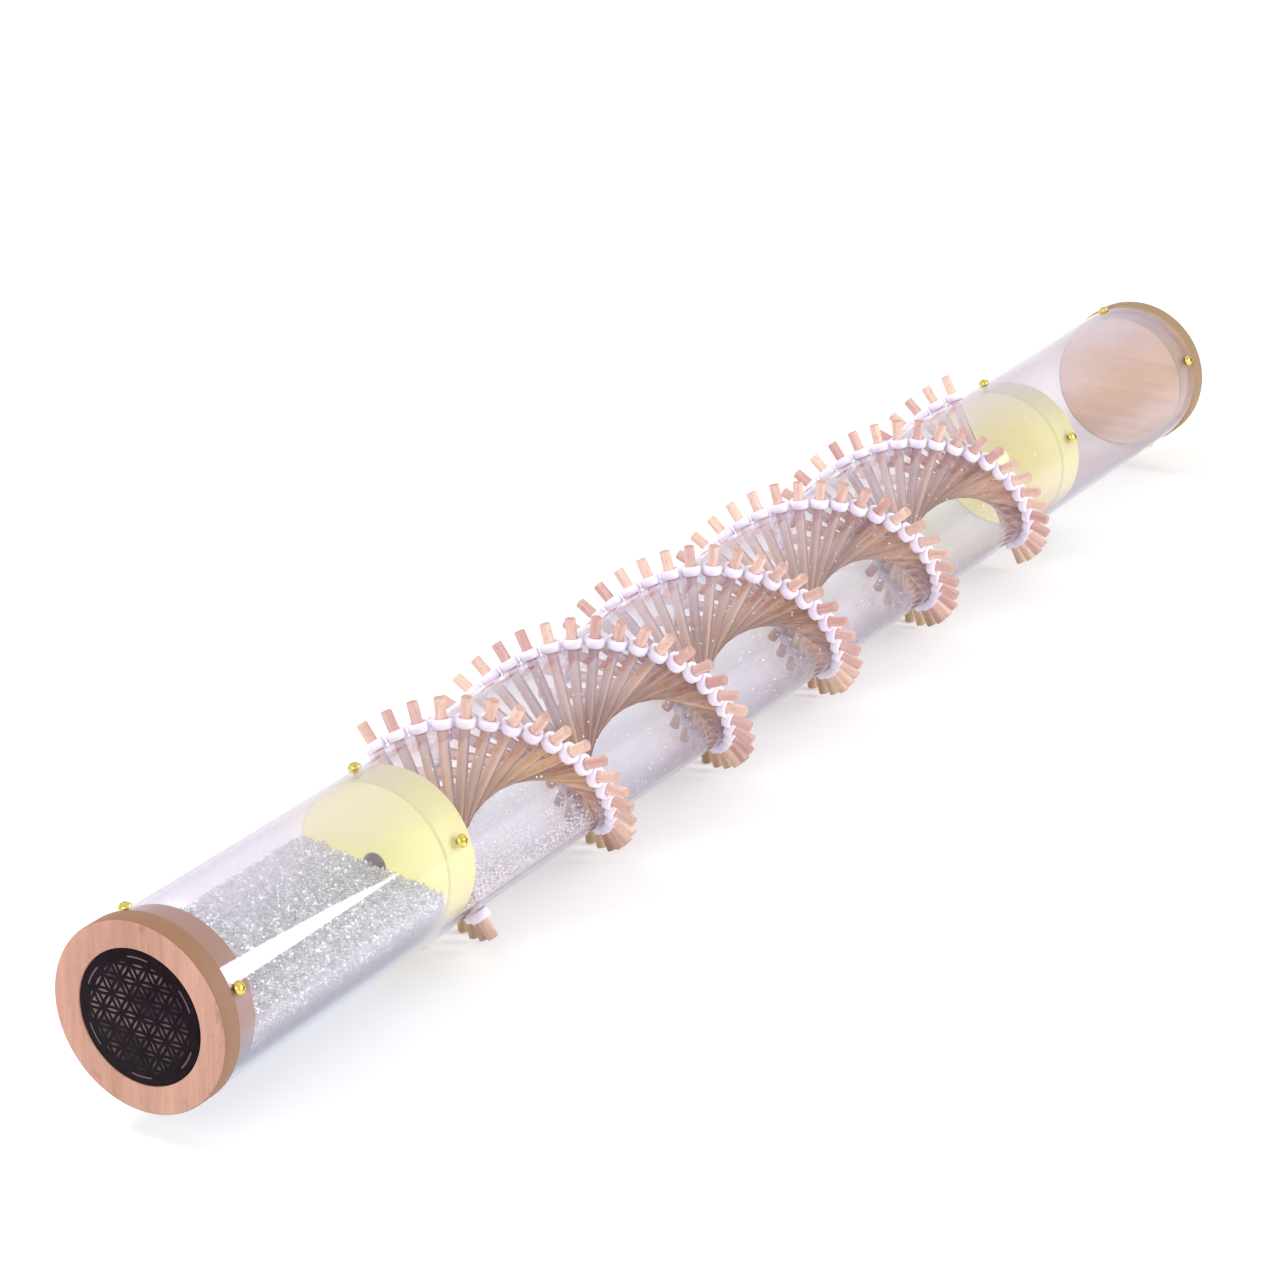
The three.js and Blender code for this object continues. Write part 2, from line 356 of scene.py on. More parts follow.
# %% [markdown]
# ## The tube
# The real tube is 80 mm across with a 2 mm wall. Here an open cylinder gets that wall on its inner side from Solidify,
# which keeps both skins evenly apart. Many flats around keep its outline round. The holes for the dowels
# stay in the CAD model, because each one is filled by its dowel and hidden by a ring.

# %% Tube
TUBE_RADIUS = 40 * MM
BORE_RADIUS = 38 * MM
TUBE_HALF = 465 * MM
LENGTHWISE = (0, math.pi / 2, 0)     # lays a new cylinder along the stick
deselect()
bpy.ops.mesh.primitive_cylinder_add(vertices=160, radius=TUBE_RADIUS, depth=2 * TUBE_HALF, end_fill_type="NOTHING",
                                    rotation=LENGTHWISE)
tube = name_piece("acrylic_tube")
modify(tube, "SOLIDIFY", thickness=TUBE_RADIUS - BORE_RADIUS, offset=-1)
settle(tube)
finish_piece(tube, acrylic, stands_for=["tube"])
print("tube faces:", len(tube.data.polygons))

# %% [markdown]
# ## Beech
# Beech is pinkish tan, with straight, faint growth lines and short dark flecks that all lie along the grain. Noise that
# is stretched one way gives both, along Z on the front cap and along Y on the rear one. The turned side of a cap and
# the side of its plug are browner than its face, as turned grain is, and darker, which is painted shade. A few stains
# gather near the rim.

# %% Wood of the caps
CAP_RADIUS = 40.7 * MM
CAP_FACE = 475.3 * MM        # outer face of a cap, from the middle of the tube
CAP_SEAT = 465.3 * MM        # face of the flange that meets the tube


def make_beech(name, light, dark, fleck, rim, upright):
    finish = Finish(name)

    def grain(across, along):
        return finish.place((across, across, along) if upright else (across, along, across))

    lines = finish.noise(grain(240, 12), 3.0, 0.6)
    fibres = finish.noise(grain(1500, 60))
    flecks = finish.noise(grain(1500, 260), 1.0).step(0.66, 0.74)
    tone = finish.noise(grain(26, 7))
    base = finish.ramp(0.45 * lines + 0.2 * fibres + 0.45 * tone, (0.36, dark), (0.72, light))
    radius = finish.reach()
    stain = finish.noise(grain(120, 60)).step(0.62, 0.7) * radius.step(34 * MM, 40 * MM)
    face = finish.blend(0.45 * stain, finish.blend(0.4 * flecks, base, fleck), fleck)
    # Painted shade: the turned side and the plug take the darker, browner rim colour.
    plug = abs(finish.axis("X")).step(CAP_SEAT + 0.3 * MM, CAP_SEAT - 0.3 * MM) * radius.step(36.5 * MM, 37.2 * MM)
    turned = (radius.step(CAP_RADIUS - 0.5 * MM, CAP_RADIUS - 0.1 * MM) + 0.8 * plug).least(1.0)
    return finish.set(Base_Color=finish.blend(turned, face, finish.blend(0.5 * lines, rim, fleck)),
                      Roughness=0.5 + 0.16 * fibres,
                      Normal=finish.bump(fibres - 0.6 * flecks, 0.2 * MM, 0.5))


cap_beech = make_beech("cap_beech", colour(204, 156, 138), colour(166, 118, 100), colour(128, 84, 70),
                       colour(146, 108, 78), True)
rear_beech = make_beech("rear_cap_beech", colour(236, 199, 166), colour(206, 163, 130), colour(160, 120, 92),
                        colour(150, 126, 90), False)
print("made", cap_beech.name, rear_beech.name)

# %% [markdown]
# ## Discs and their faces
# Both caps, the inlay, the baffles and the heap's core start as a disc that stands across the tube, between two places
# along it. By hand, its faces would be clicked. In a script they are chosen by where their middle is and which way they
# look: the helper asks a question of every face and selects those that answer yes.

# %% Discs and faces
def select_faces(piece, wanted):
    """In edit mode: selects the faces for which wanted(centre, normal) is true."""
    bpy.ops.mesh.select_mode(type="FACE")
    bpy.ops.mesh.select_all(action="DESELECT")
    mesh = bmesh.from_edit_mesh(piece.data)
    for face in mesh.faces:
        face.select = wanted(face.calc_center_median(), face.normal)
    mesh.select_flush_mode()
    bmesh.update_edit_mesh(piece.data)


def add_disc(name, radius, inner, outer, vertices):
    """A disc across the tube, between two places along it."""
    deselect()
    bpy.ops.mesh.primitive_cylinder_add(vertices=vertices, radius=radius, depth=abs(outer - inner),
                                        location=((inner + outer) / 2, 0, 0), rotation=LENGTHWISE)
    disc = name_piece(name)
    bpy.ops.object.transform_apply(location=True, rotation=True, scale=True)
    return disc


print("disc helpers ready")

# %% [markdown]
# ## The end caps
# Each cap was turned on a lathe: a flange a little wider than the tube, and a plug that fits inside it. It could be
# spun from a profile, but a disc shaped in edit mode follows the lathe's own steps. Its inner face is inset and
# pulled out to make the plug, and on the front cap the outer face is inset and pushed in, to make the recess of the
# inlay. A small bevel then rounds every edge.

# %% Caps
PLUG_END = 451.3 * MM
PLUG_RADIUS = 37.7 * MM
RECESS_RADIUS = 28.8 * MM
RECESS_DEPTH = 3.1 * MM


def turn_cap(name, side, recess=False):
    cap = add_disc(name, CAP_RADIUS, side * CAP_SEAT, side * CAP_FACE, 128)
    bpy.ops.object.mode_set(mode="EDIT")
    select_faces(cap, lambda centre, normal: normal.x * side < -0.9)
    bpy.ops.mesh.inset(thickness=CAP_RADIUS - PLUG_RADIUS)
    bpy.ops.mesh.extrude_region_move(TRANSFORM_OT_translate={"value": (-side * (CAP_SEAT - PLUG_END), 0, 0)})
    if recess:
        select_faces(cap, lambda centre, normal: normal.x * side > 0.9)
        bpy.ops.mesh.inset(thickness=CAP_RADIUS - RECESS_RADIUS)
        bpy.ops.mesh.extrude_region_move(TRANSFORM_OT_translate={"value": (-side * RECESS_DEPTH, 0, 0)})
    bpy.ops.object.mode_set(mode="OBJECT")
    round_edges(cap, 0.6 * MM, 3, sharper_than=40)
    return settle(cap)


front_cap = turn_cap("front_cap_beech", -1, recess=True)
finish_piece(front_cap, cap_beech, stands_for=["front_cap"])
rear_cap = turn_cap("rear_cap_beech", 1)
finish_piece(rear_cap, rear_beech, stands_for=["rear_cap"])
print("cap faces:", len(front_cap.data.polygons), len(rear_cap.data.polygons))

# %% [markdown]
# ## The inlay's pattern
# A thin black disc lies in the recess. It is pierced with an old geometric pattern, in which every circle passes
# through the centres of its neighbours, so wood shows between its lines as petals and small triangles. The pattern
# could be cut into the mesh, but it is fine work on a thin disc, and a material draws it more sharply. It repeats by
# mirrors: folding the two coordinates like paper brings every point into one small rectangle, where only four circles
# matter. Six thin arcs run just inside the rim, and painted light makes the lattice brighter towards its upper right.

# %% Inlay material
CIRCLE = 8.5 * MM            # radius of each circle, and the distance between their centres
LATTICE_RADIUS = 23 * MM
ARC_RADIUS = 25.4 * MM


def make_inlay():
    finish = Finish("pierced_inlay", Specular_IOR_Level=0.06)
    across, up, radius = finish.axis("Y"), finish.axis("Z"), finish.reach()
    height = CIRCLE * math.sqrt(3) / 2
    folded = finish.node("ShaderNodeCombineXYZ", values={"X": abs(across).fold(CIRCLE / 2),
                                                         "Y": abs(up).fold(height)})
    line = None
    for centre in ((CIRCLE, 0), (-CIRCLE / 2, height), (CIRCLE / 2, -height), (0, 2 * height)):
        distance = finish.node("ShaderNodeVectorMath", {"operation": "DISTANCE"}, {0: folded, 1: (*centre, 0)},
                               output="Value")
        gap = abs(distance - CIRCLE)
        line = gap if line is None else line.least(gap)
    from_arc = abs(finish.node("ShaderNodeMath", {"operation": "ARCTAN2"}, {0: across, 1: up})).fold(math.pi / 6)
    arcs = from_arc.step(0.2, 0.17) * abs(radius - ARC_RADIUS).step(0.36 * MM, 0.24 * MM)
    patchy = finish.even_noise(70).step(0.38, 0.6)
    # Painted light: the openings are brighter towards the upper right.
    painted_light = 0.4 + 0.6 * (0.6 * across + 0.8 * up).step(-22 * MM, 12 * MM)
    pierced = (line.step(0.6 * MM, 0.8 * MM) * radius.step(LATTICE_RADIUS + 0.6 * MM, LATTICE_RADIUS)
               * (0.08 + 0.5 * patchy) * painted_light)
    opening = pierced.most(arcs * 0.5)
    worn = finish.even_noise(220, 3.0)
    black = finish.ramp(worn, (0.35, colour(15, 9, 14)), (0.7, colour(30, 18, 28)))
    return finish.set(Base_Color=finish.blend(opening, black, colour(148, 122, 127)),
                      Roughness=0.38 + 0.2 * worn,
                      Normal=finish.bump(1 - opening + 0.1 * worn, 0.4 * MM, 0.6))


inlay_material = make_inlay()
print("made", inlay_material.name)

# %% [markdown]
# ## The inlay's disc
# The disc is 2.5 mm thick and lies 0.3 mm below the wood, with a hair of play around it. Only its edges need shaping:
# a fine bevel catches a thin line of light, which shows that the disc is a piece of its own.

# %% Inlay
INLAY_RADIUS = 28.5 * MM
INLAY_FRONT, INLAY_BACK = 0.3 * MM, 2.8 * MM     # below the cap's face
inlay = add_disc("inlay_disc", INLAY_RADIUS, -CAP_FACE + INLAY_FRONT, -CAP_FACE + INLAY_BACK, 128)
round_edges(inlay, 0.2 * MM, 2, sharper_than=40)
settle(inlay)
finish_piece(inlay, inlay_material, stands_for=["front_inlay"])
print("inlay faces:", len(inlay.data.polygons))

# %% [markdown]
# ## Yellow plastic
# The baffles are of pale yellow plastic that lets some light through. What enters at one side leaves everywhere, so a
# shaded face is nearly as bright as a rim in the light. True subsurface light isn't used: a weak glow in the plastic's
# own colour is painted light that stands in for it, weaker on the rim, which the lamps reach, and on the rear baffle,
# and the rim's colour is darker too. The front bore's wall is painted grey, with no glow: painted shade, as it lies in
# the beads' shade.

# %% Baffle material
def make_baffle():
    finish = Finish("yellow_baffle", Emission_Strength=0.42)
    cloudy, grain = finish.even_noise(22), finish.even_noise(600)
    pale = finish.ramp(cloudy, (0.3, colour(229, 225, 142)), (0.7, colour(239, 235, 168)))
    rear = finish.axis("X").step(-100 * MM, 100 * MM)
    radius = finish.reach()
    bore = radius.step(6.2 * MM, 5.2 * MM)
    rim = radius.step(36.2 * MM, 37.2 * MM)
    # Painted shade: the front bore's wall is grey. Painted light: the glow, dimmed on the rim, the rear baffle and the
    # front bore.
    wall = finish.blend(rear, colour(206, 198, 190), colour(250, 248, 240))
    shaded = (0.3 * rear + 0.55 * rim + bore * (1 - rear)).least(1.0)
    return finish.set(Base_Color=finish.blend(bore, finish.blend(rim, pale, colour(214, 209, 140)), wall),
                      Emission_Color=finish.blend(shaded, pale, (0.02, 0.02, 0.02)),
                      Roughness=0.42 + 0.12 * grain,
                      Normal=finish.bump(grain, 0.2 * MM, 0.3))


baffle_material = make_baffle()
print("made", baffle_material.name)

# %% [markdown]
# ## The baffles
# A baffle is a thick disc with a hole in its middle, which lets the beads out slowly. A Boolean could drill it, but
# insetting both faces of a disc and bridging the two rings leaves cleaner faces. A bevel softens all four edges.

# %% Baffle discs
BAFFLE_OUTER = 312.8 * MM
BAFFLE_INNER = 292.8 * MM
BAFFLE_HOLE = 5 * MM         # its radius


def bore_baffle(name, side):
    baffle = add_disc(name, PLUG_RADIUS, side * BAFFLE_INNER, side * BAFFLE_OUTER, 96)
    bpy.ops.object.mode_set(mode="EDIT")
    select_faces(baffle, lambda centre, normal: abs(normal.x) > 0.9)
    bpy.ops.mesh.inset(thickness=PLUG_RADIUS - BAFFLE_HOLE, use_individual=True)
    bpy.ops.mesh.bridge_edge_loops()
    bpy.ops.object.mode_set(mode="OBJECT")
    round_edges(baffle, 1.2 * MM, 3, sharper_than=40)
    return settle(baffle)


for side, node in ((-1, "front_baffle"), (1, "rear_baffle")):
    baffle = bore_baffle(node + "_disc", side)
    finish_piece(baffle, baffle_material, stands_for=[node])
    print(baffle.name, "faces:", len(baffle.data.polygons))

# %% [markdown]
# ## Brass
# The screws are bright brass. A metal takes its colour from what it reflects, so the noise changes mostly its
# roughness: some places are polished by fingers and others are dull.

# %% Brass
def make_brass():
    finish = Finish("bright_brass", Metallic=1.0)
    rub = finish.even_noise(900)
    return finish.set(Base_Color=finish.ramp(rub, (0.3, colour(198, 176, 76)), (0.7, colour(232, 218, 128))),
                      Roughness=0.14 + 0.16 * rub,
                      Normal=finish.bump(rub, 0.1 * MM, 0.3))


brass = make_brass()
print("made", brass.name)

# %% [markdown]
# ## Copies and places
# Screws, dowels and rings repeat many times. Each is modelled once, standing upright at the origin, and copied with
# a mesh of its own. One matrix brings a copy to its place: out from the tube's axis, then around it, then along it.

# %% Copy, join and place
def around(angle, x=0.0, distance=0.0):
    """The place of a thing that stands along +Z, moved out from the tube's axis and turned about it."""
    return (Matrix.Translation((x, 0, 0)) @ Matrix.Rotation(-math.radians(angle), 4, "X")
            @ Matrix.Translation((0, 0, distance)))


def copy_of(piece, name, place):
    """A copy with a mesh of its own, at a place."""
    copy = piece.copy()
    copy.data = piece.data.copy()
    copy.name = name
    copy.data.name = name
    copy.data.transform(place)
    scene.collection.objects.link(copy)
    return copy


def join(pieces, name):
    deselect()
    for piece in pieces:
        piece.select_set(True)
    bpy.context.view_layer.objects.active = pieces[0]
    bpy.ops.object.join()
    return name_piece(name)


print("a quarter turn puts +Z at", tuple(round(value) for value in around(90, distance=1).translation))

# %% [markdown]
# ## One screw
# A round head on the tube's outside and a pointed shank that goes through the wall into the wood. The head is a
# sphere cut in half by a bisect and flattened, and two thin boxes sink a cross in its top. The shank's far face is
# pinched to a point by merging its corners.

# %% One screw
HEAD_RADIUS, HEAD_HEIGHT = 3 * MM, 2.2 * MM
SHANK_RADIUS, SHANK_LENGTH = 1.5 * MM, 12 * MM
CROSS_BOX = (3.0 * MM, 0.7 * MM, 2.0 * MM)       # length, width and height of each box that cuts the cross
CROSS_MIDDLE = 2.1 * MM                          # height of the boxes' middle, so that they cut 1.1 mm deep
deselect()
bpy.ops.mesh.primitive_uv_sphere_add(segments=28, ring_count=14, radius=HEAD_RADIUS)
head = name_piece("screw_head")
bpy.ops.object.mode_set(mode="EDIT")
bpy.ops.mesh.bisect(plane_co=(0, 0, 0), plane_no=(0, 0, 1), clear_inner=True, use_fill=True)
bpy.ops.object.mode_set(mode="OBJECT")
head.scale = (1, 1, HEAD_HEIGHT / HEAD_RADIUS)
settle(head)
for turn in (0, math.pi / 2):
    deselect()
    bpy.ops.mesh.primitive_cube_add(size=1, location=(0, 0, CROSS_MIDDLE), rotation=(0, 0, turn))
    cutter = name_piece("cross_cutter")
    cutter.scale = CROSS_BOX
    modify(head, "BOOLEAN", operation="DIFFERENCE", object=cutter, solver="EXACT")
    bpy.data.objects.remove(cutter)

deselect()
bpy.ops.mesh.primitive_cylinder_add(vertices=20, radius=SHANK_RADIUS, depth=SHANK_LENGTH,
                                    location=(0, 0, -SHANK_LENGTH / 2))
shank = name_piece("screw_shank")
bpy.ops.object.mode_set(mode="EDIT")
select_faces(shank, lambda centre, normal: normal.z < -0.9)
bpy.ops.mesh.merge(type="CENTER")
bpy.ops.object.mode_set(mode="OBJECT")
one_screw = settle(join([head, shank], "one_screw"))
print("screw faces:", len(one_screw.data.polygons))

# %% [markdown]
# ## Sixteen screws
# Four screws hold each cap and each baffle. Screws driven by hand never stop at the same turn, so each copy is turned
# by chance, from a fixed seed, which gives the same stick at each run.

# %% All screws
SEAT = 40.3 * MM             # underside of a screw's head, from the tube's axis
FIRST_SCREW = 23.5           # degrees about the tube, from +Z
RINGS_OF_SCREWS = {"front_cap": -460.5, "front_baffle": -302.8, "rear_baffle": 302.8, "rear_cap": 460.5}
random.seed(11)
for held, x in RINGS_OF_SCREWS.items():
    for n in range(4):
        place = around(FIRST_SCREW + 90 * n, x * MM, SEAT) @ Matrix.Rotation(random.uniform(0, math.pi), 4, "Z")
        screw = copy_of(one_screw, f"{held}_brass_screw_{n + 1}", place)
        finish_piece(screw, brass, stands_for=[f"{held}_screw_{n + 1}"])
bpy.data.objects.remove(one_screw)
print("last screw:", screw.name)

# %% [markdown]
# ## One dowel
# A dowel is a thin beech rod that crosses the whole tube and stands out on both sides. A cylinder with a small
# chamfer on both ends is all the shape that it has, and sixteen sides are enough for a rod of 5 mm that is seen 87
# times. Its own coordinates are kept as attributes before it is turned: as they are, to find its flanks and end
# faces, and with a shift for each copy, so the grain follows every rod and no two rods look alike.

# %% One dowel
DOWEL_RADIUS = 2.5 * MM
DOWEL_TIP = 54 * MM          # from the tube's axis
deselect()
bpy.ops.mesh.primitive_cylinder_add(vertices=16, radius=DOWEL_RADIUS, depth=2 * DOWEL_TIP)
one_dowel = name_piece("one_dowel")
round_edges(one_dowel, 0.3 * MM, 1, sharper_than=60)
settle(one_dowel, smooth=40)


def give_tone(mesh, tones):
    """Stores a number from 0 to 1 at each point, by which neighbours differ in colour."""
    tone = mesh.attributes.new("tone", "FLOAT", "POINT")
    tone.data.foreach_set("value", np.array(tones, np.float32))


def keep_places(mesh, shift):
    """Stores where each point was on the upright rod, as it was and shifted for the grain."""
    points = np.zeros(3 * len(mesh.vertices), np.float32)
    mesh.vertices.foreach_get("co", points)
    for name, moved in (("rod", (0, 0, 0)), ("grain", shift)):
        kept = mesh.attributes.new(name, "FLOAT_VECTOR", "POINT")
        kept.data.foreach_set("vector", points + np.tile(np.array(moved, np.float32), len(mesh.vertices)))


print("dowel faces:", len(one_dowel.data.polygons))

# %% [markdown]
# ## The dowels' wood
# Three beech colours meet on a dowel. Inside the tube the wood is beige, with painted shade: darker in the middle,
# where the rods crowd together, and dark brown on the flanks. Its bare ends outside the tube are pinker and lighter,
# the lowest ends are painted olive brown as shade, and the chamfered tips are darker, partly from end grain and partly
# from painted shade. A tone of its own for every rod shifts the whole ramp, so neighbours stand apart as they do in
# real bundles of dowels.

# %% Dowel wood
def make_dowel_wood():
    finish = Finish("dowel_beech")
    rod = finish.node("ShaderNodeAttribute", {"attribute_name": "tone"}, output="Fac")
    lines = finish.noise(finish.place((420, 420, 22), "grain"), 3.0, 0.6)
    fibres = finish.noise(finish.place((1600, 1600, 120), "grain"))
    flecks = finish.noise(finish.place((1500, 1500, 320), "grain"), 1.0).step(0.63, 0.72)
    streak = 0.45 * lines + 0.2 * fibres + 0.28 * (rod - 0.4) + 0.175
    pink = finish.ramp(streak, (0.34, colour(203, 156, 150)), (0.7, colour(244, 217, 209)))
    beige = finish.ramp(streak, (0.3, colour(142, 96, 66)), (0.68, colour(243, 201, 162)))
    olive = finish.ramp(streak, (0.34, colour(142, 114, 84)), (0.7, colour(196, 168, 134)))
    reach = finish.reach()
    # Painted shade: the flanks inside the tube are darkened, and so is the middle near the axis.
    flank_shade = abs(finish.axis("X", "rod")).step(1.3 * MM, 0.3 * MM) * reach.step(39 * MM, 34 * MM)
    beige_with_shade = finish.blend(0.3 * reach.step(24 * MM, 4 * MM), finish.blend(0.85 * flank_shade, beige, colour(86, 48, 32)),
                           colour(122, 84, 60))
    # The ends outside the tube take the pinker, lighter colour.
    bare_end = reach.step(36 * MM, 44 * MM) * (1 - 0.4 * rod)
    # Painted shade: the lowest ends, by height, are painted olive brown.
    low = 0.9 * finish.axis("Z").step(-28 * MM, -52 * MM)
    # The chamfered tips are darker: partly end grain, partly painted shade.
    end = abs(finish.axis("Z", "rod")).step(DOWEL_TIP - 0.4 * MM, DOWEL_TIP - 0.1 * MM)
    wood = finish.blend(0.5 * end, finish.blend(low, finish.blend(bare_end, beige_with_shade, pink), olive),
                        colour(150, 106, 92))
    return finish.set(Base_Color=finish.blend(0.4 * flecks, wood, colour(150, 112, 90)),
                      Roughness=0.5 + 0.2 * fibres,
                      Normal=finish.bump(fibres - 0.5 * flecks, 0.2 * MM, 0.5))


dowel_wood = make_dowel_wood()
print("made", dowel_wood.name)

# %% [markdown]
# ## The helix
# The next dowel stands 6.33 mm further on and is turned by a seventeenth of half a turn, so together they climb like
# a spiral stair. An Array modifier could repeat them, but then all rods would share one look. The CAD model holds
# them in threes, so three rods are joined to stand for one node. Each is cut a little shorter than the next by chance.

# %% Place the dowels
DOWEL_PITCH = 6.33 * MM
DOWEL_COUNT = 87
DOWELS_PER_HALF_TURN = 17
FIRST_ANGLE = 38             # degrees from +Z towards +Y, as all angles about the tube
GROUP = 3                    # dowels that one CAD node holds


def dowel_place(n):
    """The turn and the place along the tube of the dowel with number n."""
    return FIRST_ANGLE - n * 180 / DOWELS_PER_HALF_TURN, (n - (DOWEL_COUNT - 1) / 2) * DOWEL_PITCH


def grouped(number):
    """The numbers of the dowels in a group. Groups count from 1, as in the CAD model's names."""
    return range((number - 1) * GROUP, number * GROUP)


random.seed(23)
groups = range(1, DOWEL_COUNT // GROUP + 1)
for number in groups:
    rods = []
    for n in grouped(number):
        angle, x = dowel_place(n)
        rod = copy_of(one_dowel, f"dowel_{n + 1}", Matrix.Rotation(random.uniform(0, 6.28), 4, "Z"))
        keep_places(rod.data, [random.uniform(-5, 5) for _ in range(3)])
        give_tone(rod.data, [random.random() ** 1.3] * len(rod.data.vertices))
        length = random.uniform(0.985, 1.0)
        rod.data.transform(around(angle, x) @ Matrix.Diagonal((1, 1, length, 1)))
        rods.append(rod)
    finish_piece(join(rods, f"dowel_set_{number:02d}"), dowel_wood, stands_for=[f"dowels_{number:02d}"])
bpy.data.objects.remove(one_dowel)
print("dowel sets:", len(groups))

# %% [markdown]
# ## Silicone
# A short silicone sleeve keeps each dowel from sliding. Silicone is translucent and a little cloudy, so it looks white
# with a breath of lilac. Its tint is nearly even, and the fine noise in its roughness takes away the look of hard
# plastic.

# %% Silicone
def make_silicone():
    finish = Finish("clear_silicone")
    cloudy, fine = finish.even_noise(160), finish.even_noise(900)
    return finish.set(Base_Color=finish.ramp(cloudy, (0.35, colour(232, 222, 242)), (0.7, colour(246, 240, 252))),
                      Roughness=0.3 + 0.15 * fine,
                      Normal=finish.bump(fine, 0.2 * MM, 0.3))


silicone = make_silicone()
print("made", silicone.name)

# %% [markdown]
# ## One ring
# The sleeve is a short, thick ring that sits tight against the tube. Both faces of a small disc are inset
# and bridged, like the baffles, and one bevel rounds the edges. Its mesh stays at its height above the axis, because
# every copy is only turned about the tube and moved along it.

# %% One ring
RING_FOOT = 40.1 * MM
RING_HEIGHT = 4.3 * MM
RING_RADIUS = 4.75 * MM
deselect()
bpy.ops.mesh.primitive_cylinder_add(vertices=18, radius=RING_RADIUS, depth=RING_HEIGHT,
                                    location=(0, 0, RING_FOOT + RING_HEIGHT / 2))
one_ring = name_piece("one_ring")
bpy.ops.object.mode_set(mode="EDIT")
select_faces(one_ring, lambda centre, normal: abs(normal.z) > 0.9)
bpy.ops.mesh.inset(thickness=RING_RADIUS - DOWEL_RADIUS - 0.1 * MM, use_individual=True)
bpy.ops.mesh.bridge_edge_loops()
bpy.ops.object.mode_set(mode="OBJECT")
round_edges(one_ring, 0.45 * MM, 1, sharper_than=60)
settle(one_ring, smooth=50)
print("ring faces:", len(one_ring.data.polygons))

# %% [markdown]
# ## All rings
# Every dowel carries two rings, one at each end, so the same two numbers that place a dowel place its rings.
# The six rings of three dowels are joined, to keep the list of pieces short.

# %% Place the rings
for number in groups:
    rings = []
    for n in grouped(number):
        angle, x = dowel_place(n)
        rings += [copy_of(one_ring, "ring", around(angle + end, x)) for end in (0, 180)]
    finish_piece(join(rings, f"ring_set_{number:02d}"), silicone)
bpy.data.objects.remove(one_ring)
print("ring sets:", len(groups))

# %% [markdown]
# ## Glass
# The filling is thousands of tiny glass grains. Real glass would need many bounces of light for each grain, so a
# grain is pale, smooth, a little metallic and coated, and a weak painted glow stands for the light that its neighbours
# pass on to it. A tone of its own for each grain makes some grey and some white, and the palest few get a painted
# glint in their glow. Grains that cling to the clear wall have light all around them, so their painted glow is
# stronger.

# %% Bead material
def make_glass_grain(name, painted_glow):
    finish = Finish(name, Coat_Weight=0.5, Coat_Roughness=0.05, Emission_Strength=0.4)
    tone = finish.node("ShaderNodeAttribute", {"attribute_name": "tone"}, output="Fac")
    speck = finish.even_noise(700)
    # Painted light: the emission is a glow for light passed on by neighbours, with painted glints on the palest grains.
    return finish.set(Base_Color=finish.ramp(0.8 * tone + 0.2 * speck,
                                             (0.1, colour(182, 186, 191)), (0.5, colour(220, 223, 227)),
                                             (0.9, colour(254, 254, 255))),
                      Emission_Color=finish.ramp(tone, (0.9, (painted_glow, painted_glow, painted_glow)), (0.95, (0.97, 0.98, 1))),
                      Metallic=0.1 + 0.3 * tone,
                      Roughness=0.1 + 0.25 * speck)


heap_glass = make_glass_grain("glass_grains", 0.1)
clinging_glass = make_glass_grain("clinging_grains", 0.62)
print("made", heap_glass.name, clinging_glass.name)

# %% [markdown]
# ## One grain
# A round grain would need many faces, and there are thousands. A splinter of twenty flat faces is enough, because it is
# the flashes from facets that make the heap glitter. A round primitive is too regular, so it is squeezed and its
# corners are moved a little by chance. Only its corners and faces are kept.

# %% One grain
GRAIN = 0.7 * MM             # radius
deselect()
bpy.ops.mesh.primitive_ico_sphere_add(subdivisions=1, radius=GRAIN)
one_grain = name_piece("one_grain")
bpy.ops.object.mode_set(mode="EDIT")
bpy.ops.transform.resize(value=(1.06, 0.98, 0.84))
bpy.ops.transform.vertex_random(offset=0.12 * GRAIN, seed=4)
bpy.ops.object.mode_set(mode="OBJECT")
grain_points = np.array([vertex.co for vertex in one_grain.data.vertices])
grain_faces = np.array([face.vertices[:] for face in one_grain.data.polygons])
bpy.data.objects.remove(one_grain)
print("grain:", len(grain_faces), "faces,", round(2000 * np.abs(grain_points).max(), 2), "mm long")

# %% [markdown]
# ## Scattering
# Thousands of copies are too many for operators, and a particle system isn't part of a mesh. So the grain's corners are
# copied by arithmetic into one mesh: each copy is turned by a random quaternion, sized, and moved to its place.

# %% Scatter grains
def scatter(name, places, seed, scale=1.0, paler=0.0):
    """One mesh with a grain at each place, each turned, sized and toned by chance."""
    chance = np.random.default_rng(seed)
    places = np.array(places)
    count = len(places)
    turns = chance.normal(size=(count, 4))
    turns /= np.linalg.norm(turns, axis=1, keepdims=True)
    w, x, y, z = turns.T
    spin = np.stack([
        1 - 2 * (y * y + z * z), 2 * (x * y - z * w), 2 * (x * z + y * w),
        2 * (x * y + z * w), 1 - 2 * (x * x + z * z), 2 * (y * z - x * w),
        2 * (x * z - y * w), 2 * (y * z + x * w), 1 - 2 * (x * x + y * y)], axis=1).reshape(-1, 3, 3)
    size = scale * chance.uniform(0.8, 1.0, (count, 1, 1))
    points = np.einsum("nij,kj->nki", spin, grain_points) * size + places[:, None, :]
    faces = grain_faces[None] + np.arange(count)[:, None, None] * len(grain_points)
    mesh = bpy.data.meshes.new(name)
    mesh.from_pydata(points.reshape(-1, 3).tolist(), [], faces.reshape(-1, 3).tolist())
    give_tone(mesh, np.repeat(paler + (1 - paler) * chance.random(count) ** 1.5, len(grain_points)))
    piece = bpy.data.objects.new(name, mesh)
    scene.collection.objects.link(piece)
    return piece


print("scatter ready")

